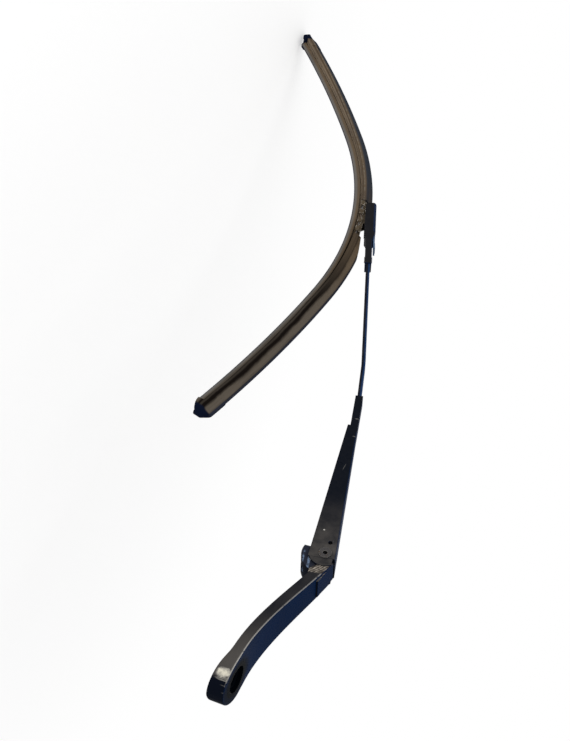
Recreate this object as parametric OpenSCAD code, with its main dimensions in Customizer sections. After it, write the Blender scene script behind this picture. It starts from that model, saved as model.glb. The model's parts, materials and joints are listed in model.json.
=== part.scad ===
// Front windscreen wiper arm with a flat blade, in millimetres.
// The spindle axis of the mounting head is the Z axis, and the arm reaches along +X.
// The arm rests on its inner stop, as it does when it is off the car.

/* [Mounting head] */
// Distance from the spindle axis to the lift pivot, along the car body
pivot_x = 104.5; // [98:0.5:112]
// Height of the lift pivot over the middle of the spindle bore
pivot_z = 19.8; // [17:0.1:22]
// Radius of the round spindle end
head_r = 16.5; // [14:0.5:18]
// Half width of the head where it meets the arm
head_end_hw = 10.4; // [9.8:0.1:11]
// Thickness of the head from top to bottom
head_t = 7.6; // [7:0.1:9]
// Extra depth of the skirt round the spindle end
skirt_drop = 5; // [3:0.1:6]
// Fall of the top towards the far side of the spindle end
end_fall = 1.8; // [0.5:0.1:2.2]
// Thickness of the cast skin over the pocket
head_skin = 2.8; // [2:0.1:3.5]
// Thickness of the side walls of the head
head_wall = 3; // [2.5:0.1:4]
// Radius of the top edges
head_edge = 1; // [0.6:0.1:1.4]
// Radius of the spindle bore
spindle_r = 5; // [4:0.1:6]
// Length of the straight wall of the spindle bore
spindle_len = 5.5; // [4:0.1:6]
// Radius of the recess for the spindle nut
nut_r = 8.8; // [7.5:0.1:10]
// Depth of the recess for the spindle nut
nut_depth = 2.6; // [2:0.1:4]

/* [Lift pivot] */
// Radius of the tongue of the head round the pivot
tongue_r = 5.3; // [5:0.1:5.5]
// Radius of the lobes that carry the hanger pin
lobe_r = 15.5; // [14.5:0.1:16.5]
// Height of the middle of the head over the pivot, where it ends
knuckle_rise = 5.2; // [4.4:0.1:5.6]
// Distance behind the pivot over which the lobes grow out of the head
lobe_x = 17.5; // [15:0.5:20]
// Outer radius of the tubular pivot rivet
rivet_r = 2.9; // [2.5:0.05:3.1]
// Radius of the hole through the tubular rivet
rivet_hole_r = 1.6; // [1:0.1:1.8]
// Wall of the pivot bushes
bush_wall = 0.9; // [0.7:0.05:1]
// Radius of the hanger pin
hanger_pin_r = 2; // [1.5:0.1:2.3]
// Distance from the pivot to the hanger pin
hanger_d = 8.5; // [8.2:0.1:9]
// Direction from the pivot to the hanger pin
hanger_angle = -119; // [-124:1:-114]

/* [Pressed channel] */
// Slope of the channel below the plane of the spindle end
arm_pitch = 12.5; // [10:0.5:15]
// Length of the tapered channel from the pivot
channel_len = 125.3; // [115:0.5:135]
// Width over the side walls at the pivot
channel_w0 = 19.5; // [19:0.1:21]
// Width over the side walls at the front
channel_w1 = 10.6; // [10.6:0.1:12]
// Height of the top over the pivot
channel_top0 = 7.2; // [7:0.1:7.6]
// Height of the top over the channel axis at the front
channel_top1 = 3.7; // [3.4:0.1:4]
// Depth of the side walls under the pivot, also the radius of their rear ends
channel_bottom0 = 10.4; // [10:0.1:11]
// Depth of the side walls at the front
channel_bottom1 = 3.7; // [3.2:0.1:4.2]
// Thickness of the pressed sheet
sheet = 1.2; // [1:0.05:1.3]
// Radius of the bends along the top
bend_r = 1.6; // [1.3:0.1:2]
// Length of the part crimped round the rod
crimp_len = 31.8; // [26:0.2:36]
// Slope of the crimped part against the channel
crimp_pitch = 1.4; // [0:0.1:2]
// Distance from the pivot to the small round hole
hole_x = 9.5; // [8:0.5:11]
// Radius of the small round hole
hole_r = 1.5; // [1:0.1:2]

/* [Rod] */
// Width of the flat rod
rod_w = 8; // [7.6:0.1:8.2]
// Thickness of the flat rod
rod_t = 3.1; // [2.8:0.1:3.2]
// Length of the rod inside the channel behind the crimp
rod_tail = 22; // [16:1:30]
// Length of the free rod up to its bend
rod_len1 = 39; // [30:1:50]
// Slope of the rod up to the bend
rod_pitch1 = 3.3; // [2:0.1:5]
// Length of the free rod from its bend to the arm end
rod_len2 = 124.9; // [110:1:150]
// Slope of the rod from the bend on
rod_pitch2 = 6.35; // [5:0.05:8]

/* [Spring] */
// Thickness of the hooked link
link_t = 3; // [2:0.1:3.4]
// Width of the strip of the hooked link
link_w = 3; // [2.6:0.1:3.2]
// Distance between the two eyes of the link
link_len = 20; // [19:0.5:24]
// Lift angle at which the link has swung over the pivot
lift_max = 70; // [65:1:70]
// Distance from the pivot to the anchor pin
anchor_x = 84; // [80:1:90]
// Depth of the anchor pin under the channel axis
anchor_drop = 3; // [2.5:0.1:3.5]
// Radius of the anchor pin
anchor_r = 1.6; // [1.2:0.1:1.8]
// Radius of the spring wire
wire_r = 0.9; // [0.7:0.05:1]
// Radius of the coil at the middle of the wire
coil_r = 3; // [2.6:0.1:3.2]
// Number of turns
coil_turns = 18; // [14:1:18]
// Distance from turn to turn
coil_pitch = 2.2; // [2.1:0.05:2.3]

/* [Arm end] */
// Length of the narrow sleeve on the rod
sleeve_len = 46; // [42:1:50]
// Wall of the sleeve
sleeve_wall = 1.2; // [1:0.1:1.5]
// Length of the box over the blade connector
box_len = 37; // [34:1:40]
// Half width of the box
box_hw = 8.6; // [8.4:0.1:9.4]
// Height of the box roof over the rod axis
box_top = 5.2; // [5:0.1:6]
// Radius of the roof edges of the box
box_edge = 3; // [1.5:0.1:3.2]
// Depth of the box walls under the rod axis
box_bottom = 4.2; // [3.6:0.1:4.6]
// Wall of the box
box_wall = 1.6; // [1.4:0.1:1.8]
// Distance from the rear of the sleeve to the blade pin
blade_pin_x = 64; // [62:0.5:66]
// Depth of the blade pin under the rod axis
blade_pin_drop = 1; // [0.5:0.1:1.2]
// Radius of the blade pin
blade_pin_r = 1.75; // [1.5:0.05:2]
// Length of the release tab
tab_len = 25; // [20:1:27]
// Thickness of the release tab
tab_t = 1.3; // [1.1:0.1:1.4]
// Distance from the rear of the sleeve to the rivet on the rod
end_rivet_x = 10; // [6:0.5:14]
// Radius of the rivet on the rod
end_rivet_r = 1.6; // [1.2:0.1:2]

/* [Blade] */
// Half of the length of the blade along its curve
blade_half = 300; // [270:5:330]
// Radius of the middle stretch of the curve
arc_mid_r = 365; // [330:5:450]
// Half of the length of the middle stretch
arc_mid_half = 121; // [110:1:140]
// Radius of the two outer stretches
arc_end_r = 1280; // [1000:20:1600]
// Distance of the blade pin from the middle of the blade, towards the heel
blade_pin_back = 9.3; // [6:0.1:12]
// Depth of the rails under the rod axis, at the blade pin
blade_drop = 8.8; // [8.6:0.1:9.6]
// Upward turn of the blade against the rod, at the blade pin
blade_turn = 5.75; // [5:0.05:6.5]
// Roll of the blade about its length, to suit the slope of the glass
blade_roll = 9.3; // [6:0.1:12]
// Height of the spoiler crest over the blade middle
crest_z = 8.5; // [8:0.1:8.8]
// Depth of the lip edge under the blade middle
lip_z = 8.5; // [8:0.1:9.5]
// Width of one rail
rail_w = 4; // [3.4:0.1:4.2]
// Thickness of the rails
rail_t = 1; // [0.8:0.05:1.1]
// Half width of the rubber between the rails
neck_hw = 0.9; // [0.7:0.05:1.1]
// Wall of the spoiler round the rails
spoiler_wall = 1.2; // [1:0.1:1.4]
// Start of the tip side spoiler from the blade middle
spoiler_tip_from = 16.5; // [15:0.5:22]
// Start of the heel side spoiler from the blade middle
spoiler_heel_from = 36; // [34:1:42]
// Length of the end caps
cap_len = 22; // [18:1:28]

/* [Hidden] */
// Clearance between pieces that move past each other
run = 0.3;
// Clearance between pieces that are fitted together
fit = 0.05;
// Running clearance of the pins on their radius
pin_fit = 0.05;
$fn = 64;
arc_fn = 720;

function turned(v, a) = [v[0] * cos(a) - v[1] * sin(a), v[0] * sin(a) + v[1] * cos(a)];
function direction(a) = [cos(a), sin(a)];

// Places in the frame of the channel, which has its origin in the pivot
hanger_p = hanger_d * direction(hanger_angle);
anchor_p = [anchor_x, -anchor_drop];
link_angle = atan2(anchor_p[1] - hanger_p[1], anchor_p[0] - hanger_p[0]);
spring_reach = norm(anchor_p - hanger_p);
hanger_open = hanger_d * direction(hanger_angle - lift_max);
link_angle_open = atan2(anchor_p[1] - hanger_open[1], anchor_p[0] - hanger_open[0]);
hook_c = turned(-hanger_open, -link_angle_open);
bush_r = rivet_r + pin_fit + bush_wall;
tongue_hw = channel_hw(tongue_r + 4.2) - sheet - run;
slot_hw = link_t / 2 + 0.7;
web_rear = 4;
web_swing = norm([web_rear, channel_top0]) + run;
web_low = atan2(channel_top0 - sheet, -web_rear) + lift_max + 2;
crimp_h = rod_t + 2 * sheet + fit;
crimp_start = [channel_len, channel_top1];
crimp_end = crimp_start + crimp_len * direction(-crimp_pitch);
rod_start = crimp_end - (sheet + fit / 2 + rod_t / 2) * direction(90 - crimp_pitch);
rod_bend = rod_start + rod_len1 * direction(-rod_pitch1);
rod_end = rod_bend + rod_len2 * direction(-rod_pitch2);
head_z = 1.6;
rail_hw = neck_hw + fit + rail_w;
sleeve_hw = rod_w / 2 + fit + sleeve_wall;
sleeve_hh = rod_t / 2 + fit + sleeve_wall;
rod_in_end = sleeve_len + 3;
cavity_from = rod_in_end + 1;
// Middle of the thickness of the base plate of the connector, where the blade rolls
roll_z = head_z + fit + sheet / 2;
cheek_in = 3.1;
cheek_out = cheek_in + sheet;
cheek_r = 3;
cheek_rear = 8.5;
cheek_front = 12;
// Upward travel of the blade round its pin, which the adapter leaves free
rock_up = 8;
bracket_hw = cheek_out + 0.2;
claw_in = rail_hw - 0.3;
window_in = (bracket_hw + claw_in) / 2;
adapter_bottom = blade_drop - head_z - fit - sheet - bracket_hw * tan(blade_roll) - 2 * run;
rail_len = blade_half - 5;
lip_len = blade_half - 9;
mid_angle = arc_mid_half / arc_mid_r * 180 / PI;
end_angle = (blade_half - arc_mid_half) / arc_end_r * 180 / PI;

/* Frames. Each module places its children in the frame that it names. */

// Channel frame: origin in the pivot, X along the channel
module in_channel() {
    translate([pivot_x, 0, pivot_z])
        rotate([0, arm_pitch, 0])
            children();
}

// A side profile drawn in X and Z becomes a plate of the width w
module plate(w) {
    translate([0, w / 2, 0])
        rotate([90, 0, 0])
            linear_extrude(w)
                children();
}

// A cross bar along Y at the place p
module cross_bar(p, r, w) {
    translate([p[0], w / 2, p[1]])
        rotate([90, 0, 0])
            cylinder(r = r, h = w);
}

// Frame of the arm end: origin at the rear of the sleeve, X along the rod
module in_end() {
    in_channel()
        translate([rod_end[0], 0, rod_end[1]])
            rotate([0, rod_pitch2, 0])
                children();
}

// Connector frame: origin on the rails under the blade pin, X along the blade there
module in_connector() {
    in_end()
        translate([blade_pin_x, 0, -blade_pin_drop])
            rotate([0, -blade_turn, 0])
                translate([0, 0, blade_pin_drop - blade_drop])
                    children();
}

// Blade frame: origin in the middle of the blade, rolled to suit the glass
module in_blade() {
    in_connector()
        translate([0, 0, roll_z])
            rotate([blade_roll, 0, 0])
                translate([0, 0, -roll_z])
                    at_blade(blade_pin_back)
                        children();
}

// Sweeps a section drawn in Y and Z along an arc of the radius r, from one
// angle to another, with the arc's middle at the origin and bowed upwards
module arc_sweep(r, from, to) {
    translate([0, 0, -r])
        rotate([90, 0, 0])
            rotate([0, 0, 90 - to])
                rotate_extrude(angle = to - from, $fn = arc_fn)
                    translate([r, 0])
                        rotate(-90)
                            children();
}

// Turns the frame of the heel side's outer stretch on to the end of the middle stretch
module at_outer() {
    translate([0, 0, -arc_mid_r])
        rotate([0, -mid_angle, 0])
            translate([0, 0, arc_mid_r])
                children();
}

// Places children at the distance s along the blade curve, X along the curve
module at_blade(s) {
    side = sign(s);
    inner = min(abs(s), arc_mid_half) / arc_mid_r * 180 / PI;
    outer = max(abs(s) - arc_mid_half, 0) / arc_end_r * 180 / PI;
    translate([0, 0, -arc_mid_r])
        rotate([0, side * inner, 0])
            translate([0, 0, arc_mid_r - arc_end_r])
                rotate([0, side * outer, 0])
                    translate([0, 0, arc_end_r])
                        children();
}

// Sweeps a section along one half of the curve. Both stretches start their
// turn in the plane where they join, so that they join exactly.
module half_sweep(from, to) {
    if (from < arc_mid_half)
        arc_sweep(arc_mid_r, from / arc_mid_r * 180 / PI, min(to, arc_mid_half) / arc_mid_r * 180 / PI)
            children();
    if (to > arc_mid_half)
        mirror([1, 0, 0])
            at_outer()
                arc_sweep(arc_end_r, (arc_mid_half - to) / arc_end_r * 180 / PI,
                          min(arc_mid_half - from, 0) / arc_end_r * 180 / PI)
                    children();
}

// Sweeps a section along the blade curve, from one distance to another
module blade_sweep(from, to) {
    if (max(-from, to) < arc_mid_half) {
        arc_sweep(arc_mid_r, from / arc_mid_r * 180 / PI, to / arc_mid_r * 180 / PI)
            children();
    } else {
        if (to > 0)
            half_sweep(from < 0 ? -1 : from, to)
                children();
        if (from < 0)
            mirror([1, 0, 0])
                half_sweep(to > 0 ? -1 : -to, -from)
                    children();
    }
}

/* Mounting head */

// The middle line of the head: flat at the spindle, then an even S up to the pivot
head_mid_z = spindle_len / 2 + nut_depth - head_t / 2;
flat_x = 8;
rise_end = [pivot_x + 0.5, pivot_z + knuckle_rise];
rise_a = [flat_x + 34, head_mid_z];
rise_b = rise_end - 28 * direction(24 - arm_pitch);
function bezier(t) = pow(1 - t, 3) * [flat_x, head_mid_z] + 3 * t * pow(1 - t, 2) * rise_a
    + 3 * t * t * (1 - t) * rise_b + pow(t, 3) * rise_end;
function bezier_slope(t) = pow(1 - t, 2) * (rise_a - [flat_x, head_mid_z])
    + 2 * t * (1 - t) * (rise_b - rise_a) + t * t * (rise_end - rise_b);

// Stations as [x, z, slope angle]
end_steps = 9;
rise_steps = 24;
end_stations = [for (i = [0:end_steps]) let (a = 7 + 83 * i / end_steps)
    [-head_r * cos(a), head_mid_z, 0]];
rise_stations = [for (i = [0:rise_steps]) let (t = i / rise_steps, d = bezier_slope(t))
    [bezier(t)[0], bezier(t)[1], atan2(d[1], d[0])]];
stations = concat(end_stations, rise_stations);

function head_hw(x) = x < 0 ? sqrt(head_r * head_r - x * x)
    : head_r + (head_end_hw - head_r) * x / (pivot_x - lobe_x);
function skirt(x) = skirt_drop * (1 - min(1, max(0, (x + head_r) / (head_r + 10))));
function top_fall(x) = end_fall * pow(max(0, flat_x - x) / (flat_x + head_r), 2);

// A section with four rounded corners, as [across, up] points
function corner(c, r, from) = [for (i = [0:3]) c + r * direction(from + 30 * i)];
function head_section(hw, top, bottom, r) = concat(
    corner([hw - r, top - r], r, 0), corner([-hw + r, top - r], r, 90),
    corner([-hw + r, bottom + r], r, 180), corner([hw - r, bottom + r], r, 270));

// A closed skin through equal rings of points
module loft(rings) {
    n = len(rings[0]);
    m = len(rings);
    points = [for (ring = rings) each ring];
    sides = [for (j = [0:m - 2]) for (i = [0:n - 1]) let (k = (i + 1) % n)
        each [[j * n + i, j * n + k, (j + 1) * n + i], [j * n + k, (j + 1) * n + k, (j + 1) * n + i]]];
    first = [for (i = [n - 1:-1:0]) i];
    last = [for (i = [0:n - 1]) (m - 1) * n + i];
    polyhedron(points, concat([first], sides, [last]));
}

function ring_at(s, section) = [for (p = section)
    [s[0] - p[1] * sin(s[2]), -p[0], s[1] + p[1] * cos(s[2])]];

module head_body() {
    loft([for (s = stations) ring_at(s,
        head_section(head_hw(s[0]), head_t / 2 - top_fall(s[0]), -head_t / 2 - skirt(s[0]), head_edge))]);
}

// One pocket under the head, between two steps of the rise
module head_pocket(from, to) {
    loft([for (i = [from:to]) let (s = rise_stations[i])
        ring_at(s, head_section(head_hw(s[0]) - head_wall, head_t / 2 - head_skin,
                                -head_t, head_edge))]);
}

// Side profile of the tongue, in the channel frame at rest
module tongue_profile() {
    slope = 24;
    top0 = knuckle_rise * cos(arm_pitch) + head_t / 2 / cos(slope);
    back = lobe_x + 5;
    difference() {
        union() {
            polygon([[-back, top0 - back * tan(slope)], [-6, top0 - 6 * tan(slope)], [-6, 0],
                [0, 0], [0, -lobe_r / 2], [-lobe_r / 2, -lobe_r / 2], [-back, -back * tan(slope) + 1]]);
            intersection() {
                circle(lobe_r);
                polygon([[0, 0], [-2 * lobe_r, -lobe_r / 4], [-2 * lobe_r, -2 * lobe_r],
                    [lobe_r / 2, -2 * lobe_r], [tongue_r, -lobe_r / 2]]);
            }
        }
        intersection() {
            circle(web_swing);
            polygon([[0, 0], 30 * direction(web_low), [-30, 30], [30, 30], [30, 0]]);
        }
    }
    circle(tongue_r);
    translate([0, -tongue_r / 2])
        square([tongue_r + 2.5, tongue_r * 1.5]);
}

module mounting_head() {
    color("dimgray") difference() {
        union() {
            difference() {
                head_body();
                in_channel() {
                    cross_bar([0, 0], channel_bottom0 + 2 * run, 100);
                    translate([-2, -50, -50])
                        cube(100);
                }
                head_pocket(3, 9);
                head_pocket(10, 15);
                head_pocket(16, 19);
            }
            in_channel()
                plate(2 * tongue_hw)
                    tongue_profile();
        }
        translate([0, 0, -50])
            cylinder(r = spindle_r, h = 100);
        translate([0, 0, -spindle_len / 2 - 10])
            cylinder(r1 = spindle_r + 10, r2 = spindle_r, h = 10);
        translate([0, 0, spindle_len / 2])
            cylinder(r = nut_r, h = 20);
        in_channel() {
            cross_bar([0, 0], bush_r, 40);
            cross_bar(hanger_p, hanger_pin_r, 40);
            plate(2 * slot_hw)
                polygon([[-5.4, 20], [-5.4, 0.5], [hanger_p[0] - 4.8, 0.5], [hanger_p[0] - 4.8, -30],
                    [30, -30], [30, 20]]);
        }
    }
}

module pivot_bush(side) {
    in_channel()
        translate([0, side * (slot_hw + tongue_hw) / 2, 0])
            rotate([90, 0, 0])
                difference() {
                    cylinder(r = bush_r, h = tongue_hw - slot_hw, center = true);
                    cylinder(r = rivet_r + pin_fit, h = 40, center = true);
                }
}

module pivot_bush_left() {
    color("ivory") pivot_bush(1);
}

module pivot_bush_right() {
    color("ivory") pivot_bush(-1);
}

module hanger_pin() {
    color("silver") in_channel()
        cross_bar(hanger_p, hanger_pin_r, 2 * tongue_hw);
}

/* Pressed channel */

function channel_top(x) = channel_top0 + (channel_top1 - channel_top0) * x / channel_len;
function channel_bottom(x) = -channel_bottom0 + (channel_bottom0 - channel_bottom1) * x / channel_len;
function channel_hw(x) = (channel_w0 + (channel_w1 - channel_w0) * x / channel_len) / 2;

// A cross section of the channel, inset by d, as a thin plate at x
module channel_slice(x, d) {
    r = bend_r - d;
    translate([x, 0, 0])
        rotate([90, 0, 90])
            linear_extrude(0.01) {
                translate([-channel_hw(x) + d, channel_bottom(x) - 3 * d])
                    square([2 * (channel_hw(x) - d), channel_top(x) - d - r - channel_bottom(x) + 3 * d]);
                for (side = [-1, 1])
                    translate([side * (channel_hw(x) - d - r), channel_top(x) - d - r])
                        circle(r);
            }
}

module arm_channel() {
    inner = rod_w + 2 * fit;
    color("darkslategray") in_channel() difference() {
        union() {
            difference() {
                hull() {
                    channel_slice(-web_rear, 0);
                    channel_slice(channel_len, 0);
                }
                hull() {
                    channel_slice(-web_rear - 1, sheet);
                    channel_slice(channel_len + 1, sheet);
                }
            }
            intersection() {
                difference() {
                    cross_bar([0, 0], channel_bottom0, channel_w0);
                    cross_bar([0, 0], 30, channel_w0 - 2 * sheet);
                }
                translate([-30, -30, -30])
                    cube([30, 60, 30 + channel_top0 - bend_r]);
            }
            // The crimped part: a closed box round the rod
            translate([crimp_start[0], 0, crimp_start[1]])
                rotate([0, crimp_pitch, 0])
                    difference() {
                        translate([-6, -channel_w1 / 2, -crimp_h])
                            cube([crimp_len + 6, channel_w1, crimp_h]);
                        translate([-7, -inner / 2, -sheet - rod_t - fit])
                            cube([crimp_len + 10, inner, rod_t + fit]);
                        translate([-7, -rod_w / 4, -crimp_h - 1])
                            cube([crimp_len + 10, rod_w / 2, 2 + fit]);
                    }
        }
        cross_bar([0, 0], rivet_r, 40);
        cross_bar([hole_x, 2], hole_r, 40);
        cross_bar(anchor_p, anchor_r, 40);
    }
}

module pivot_rivet() {
    head_h = 0.7;
    color("gray") in_channel()
        difference() {
            union() {
                cross_bar([0, 0], rivet_r, channel_w0);
                for (side = [-1, 1])
                    translate([0, side * (channel_w0 + head_h) / 2, 0])
                        cross_bar([0, 0], rivet_r + 1.3, head_h);
            }
            cross_bar([0, 0], rivet_hole_r, 40);
        }
}

module anchor_pin() {
    color("silver") in_channel()
        cross_bar(anchor_p, anchor_r, 2 * channel_hw(anchor_x) - 0.4);
}

/* Rod */

module arm_rod() {
    a = crimp_pitch;
    tail = rod_start - (crimp_len + rod_tail) * direction(-a);
    n = rod_t / 2;
    stop = rod_end + rod_in_end * direction(-rod_pitch2);
    d = [tail, rod_start, rod_bend, stop];
    slopes = [a, (a + rod_pitch1) / 2, (rod_pitch1 + rod_pitch2) / 2, rod_pitch2];
    color("midnightblue") in_channel() difference() {
        plate(rod_w)
            polygon(concat([for (i = [0:3]) d[i] + n * direction(90 - slopes[i])],
                           [for (i = [3:-1:0]) d[i] - n * direction(90 - slopes[i])]));
        translate([rod_end[0], 0, rod_end[1]])
            rotate([0, rod_pitch2, 0])
                translate([end_rivet_x, 0, -20])
                    cylinder(r = end_rivet_r, h = 40);
    }
}

/* Arm end */

// Section of the box across the arm, with rounded roof edges
module box_section(hw, top, bottom, r) {
    translate([-hw, -bottom])
        square([2 * hw, top + bottom - r]);
    translate([-hw + r, -bottom])
        square([2 * (hw - r), top + bottom]);
    for (side = [-1, 1])
        translate([side * (hw - r), top - r])
            circle(r);
}

module along_x(from, to) {
    translate([from, 0, 0])
        rotate([90, 0, 90])
            linear_extrude(to - from)
                children();
}

module arm_end() {
    box_from = sleeve_len - 4;
    box_to = sleeve_len + box_len;
    color("black") in_end() difference() {
        union() {
            along_x(0, sleeve_len)
                box_section(sleeve_hw, sleeve_hh, sleeve_hh, 0.8);
            intersection() {
                along_x(box_from - 10, box_to)
                    box_section(box_hw, box_top, box_bottom, box_edge);
                union() {
                    translate([0, 0, -20])
                        linear_extrude(40)
                            polygon([[box_from - 8, -sleeve_hw], [box_from, -box_hw], [box_to, -box_hw],
                                [box_to, box_hw], [box_from, box_hw], [box_from - 8, sleeve_hw]]);
                }
                plate(40)
                    polygon([[box_from - 8, -sleeve_hh], [box_from, -box_bottom], [box_to - 3, -box_bottom],
                        [box_to, -box_bottom + 2.5], [box_to, box_top - 0.8], [box_to - 0.8, box_top],
                        [box_from, box_top], [box_from - 8, sleeve_hh]]);
            }
        }
        // The tab lies in a groove of the roof, which its pin crosses
        translate([tab_end_x - run, -tab_hw - run, tab_floor])
            cube([tab_len + tab_knuckle_r + 2 * run, 2 * (tab_hw + run), 20]);
        cross_bar([tab_pin_x, tab_pin_z], tab_pin_r, 2 * tab_pin_hw);
        translate([-1, -rod_w / 2 - fit, -rod_t / 2 - fit])
            cube([rod_in_end + 1 + fit, rod_w + 2 * fit, rod_t + 2 * fit]);
        translate([cavity_from, -box_hw + box_wall, -20])
            cube([box_len, 2 * (box_hw - box_wall), 20 + box_top - box_wall]);
        translate([end_rivet_x, 0, -20])
            cylinder(r = end_rivet_r, h = 40);
    }
}

module end_rivet() {
    rim = 1;
    head_h = 0.6;
    color("gray") in_end() translate([end_rivet_x, 0, 0]) {
        cylinder(r = end_rivet_r, h = 2 * sleeve_hh, center = true);
        for (side = [-1, 1])
            translate([0, 0, side * (sleeve_hh + head_h / 2)])
                cylinder(r = end_rivet_r + rim, h = head_h, center = true);
    }
}

/* Release tab */

// The tab rises a little from its knuckle, so that it can be pressed down
tab_hw = 4;
tab_rise = 1.6;
tab_pin_r = 0.6;
tab_knuckle_r = tab_pin_r + 0.6;
tab_floor = rod_t / 2 + fit + sleeve_wall - 0.5;
tab_pin_x = sleeve_len + 1;
tab_pin_z = tab_floor + run + tab_knuckle_r;
tab_end_x = tab_pin_x - tab_len;
tab_pin_hw = box_hw - box_wall + 0.2;

module in_tab() {
    in_end()
        translate([tab_pin_x, 0, tab_pin_z])
            rotate([0, tab_rise, 0])
                children();
}

module release_tab() {
    ridges = 4;
    ridge_r = 0.4;
    ridge_pitch = 2;
    color("darkslateblue") in_tab() difference() {
        union() {
            plate(2 * tab_hw)
                translate([-tab_len, -tab_t / 2])
                    square([tab_len, tab_t]);
            cross_bar([0, 0], tab_knuckle_r, 2 * tab_hw);
            // Finger ridges
            for (i = [1:ridges])
                cross_bar([ridge_pitch * i - tab_len, tab_t / 2 - ridge_r / 4], ridge_r, 2 * (tab_hw - 2 * ridge_r));
        }
        cross_bar([0, 0], tab_pin_r + pin_fit, 40);
    }
}

module tab_pin() {
    color("silver") in_end()
        cross_bar([tab_pin_x, tab_pin_z], tab_pin_r, 2 * tab_pin_hw);
}

/* Blade adapter */

module blade_adapter() {
    from = cavity_from;
    to = sleeve_len + box_len - 2;
    pin = [blade_pin_x, -blade_pin_drop];
    nose = to - blade_pin_x - 1;
    color("dimgray") in_end() difference() {
        // The underside rises in front of the pin, so that the blade can rock
        plate(2 * (box_hw - box_wall))
            polygon([[from, -adapter_bottom], [blade_pin_x + 1, -adapter_bottom],
                [to, -adapter_bottom + nose * tan(blade_turn + rock_up)],
                [to, box_top - box_wall], [from, box_top - box_wall]]);
        for (side = [-1, 1])
            translate([0, side * (cheek_in + cheek_out) / 2, 0])
                plate(sheet + 2 * run)
                    translate([from - 1, -20])
                        square([to - from + 2, 20 + blade_pin_drop + 1.3]);
        cross_bar(pin, blade_pin_r + pin_fit, 2 * cheek_out + 0.2);
    }
}

/* Hooked link and spring. The link frame has its origin in the hanger pin. */

module in_link() {
    in_channel()
        translate([hanger_p[0], 0, hanger_p[1]])
            rotate([0, -link_angle, 0])
                children();
}

module spring_link() {
    hook_in = rivet_r + 0.6;
    eye_r = hanger_pin_r + 2.1;
    color("lightsteelblue") in_link() plate(link_t) difference() {
        union() {
            circle(eye_r);
            // The open hook that clears the pivot rivet when the arm is lifted
            intersection() {
                translate(hook_c)
                    difference() {
                        circle(hook_in + link_w);
                        circle(hook_in);
                    }
                polygon([[-4, -20], [30, -20], [30, 1], hook_c + [0, 0.5], [-4, hook_c[1]]]);
            }
            translate([hook_c[0] + hook_in + 0.4, -link_w / 2])
                square([link_len - hook_c[0] - hook_in, link_w]);
            translate([link_len, 0])
                circle(link_w);
        }
        circle(hanger_pin_r + pin_fit);
        translate([link_len, 0])
            circle(wire_r + 0.4);
        translate(hook_c)
            circle(hook_in);
    }
}

// A bent wire in the plane of X and Y: part of a ring
module wire_ring(r, angle) {
    rotate_extrude(angle = angle)
        translate([r, 0])
            circle(wire_r, $fn = 24);
}

module wire(p, l) {
    translate([p[0], p[1], p[2]])
        rotate([0, 90, 0])
            cylinder(r = wire_r, h = l, $fn = 24);
}

module tension_spring() {
    ring_r = link_w - 0.1;
    ring_x = link_len + ring_r - 0.1;
    coil_x = ring_x + ring_r + wire_r + 0.2;
    coil_len = coil_turns * coil_pitch;
    hook_r = anchor_r + wire_r + 0.1;
    steps = 14;
    n = coil_turns * steps;
    rings = [for (i = [0:n]) let (a = 360 * i / steps)
        [for (j = [0:5]) let (b = 60 * j, r = coil_r + wire_r * cos(b))
            [coil_x + coil_pitch * i / steps + wire_r * sin(b), r * cos(a), r * sin(a)]]];
    color("gray") in_link() {
        loft(rings);
        // Rear hook through the eye of the link
        translate([ring_x, 0, 0])
            rotate([0, 0, 90])
                wire_ring(ring_r, 270);
        translate([ring_x, 0, 0])
            wire([0, ring_r, 0], coil_x - ring_x + wire_r);
        // Front hook round the anchor pin
        translate([spring_reach, 0, 0])
            rotate([90, 0, 0])
                rotate([0, 0, -90])
                    wire_ring(hook_r, 270);
        wire([coil_x + coil_len - wire_r, 0, hook_r], spring_reach - coil_x - coil_len + wire_r);
    }
}

/* Blade */

module connector_bracket() {
    plate_from = -spoiler_heel_from + 6;
    plate_to = spoiler_tip_from - 2;
    claw = 6;
    claws = 4;
    pitch = (plate_to - plate_from - claw) / (claws - 1);
    pin = [0, blade_drop - blade_pin_drop];
    cheek_y = (cheek_in + cheek_out) / 2;
    color("lightgray") {
        // Base plate on the rails, raised over the head of the rubber and folded
        // round the rails, with windows between the claws
        in_blade() difference() {
            blade_sweep(plate_from, plate_to) {
                translate([-bracket_hw, head_z + fit])
                    square([2 * bracket_hw, sheet]);
                for (side = [0, 1])
                    mirror([side, 0])
                        polygon([[cheek_in, 0], [rail_hw, 0], [rail_hw, -rail_t], [claw_in, -rail_t],
                            [claw_in, -rail_t - sheet], [rail_hw + sheet, -rail_t - sheet],
                            [rail_hw + sheet, sheet], [bracket_hw, sheet],
                            [bracket_hw, head_z + fit + sheet / 2], [cheek_in, head_z + fit + sheet / 2]]);
            }
            for (i = [0:claws - 2])
                at_blade(plate_from + claw + i * pitch)
                    for (side = [-1, 1])
                        translate([0, side * (window_in + 5) - 5, -10])
                            cube([pitch - claw, 10, 20]);
        }
        // Upright cheeks with the eye of the blade pin. Their feet stand in the rolled plate.
        in_connector() difference() {
            for (side = [-1, 1])
                translate([0, side * cheek_y, 0])
                    plate(sheet) {
                        foot = roll_z + side * cheek_y * tan(blade_roll);
                        translate(pin)
                            circle(cheek_r);
                        polygon([[-cheek_rear, foot], [cheek_front, foot], [0.9 * cheek_r, pin[1] + cheek_r / 4],
                            [-0.9 * cheek_r, pin[1] + cheek_r / 4]]);
                    }
            cross_bar(pin, blade_pin_r, 40);
        }
    }
}

module blade_pin() {
    color("silver") in_connector()
        cross_bar([0, blade_drop - blade_pin_drop], blade_pin_r, 2 * cheek_out);
}

module rail(side) {
    in_blade()
        blade_sweep(-rail_len, rail_len)
            translate([side * (neck_hw + fit + rail_w / 2), -rail_t / 2])
                square([rail_w, rail_t], center = true);
}

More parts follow.
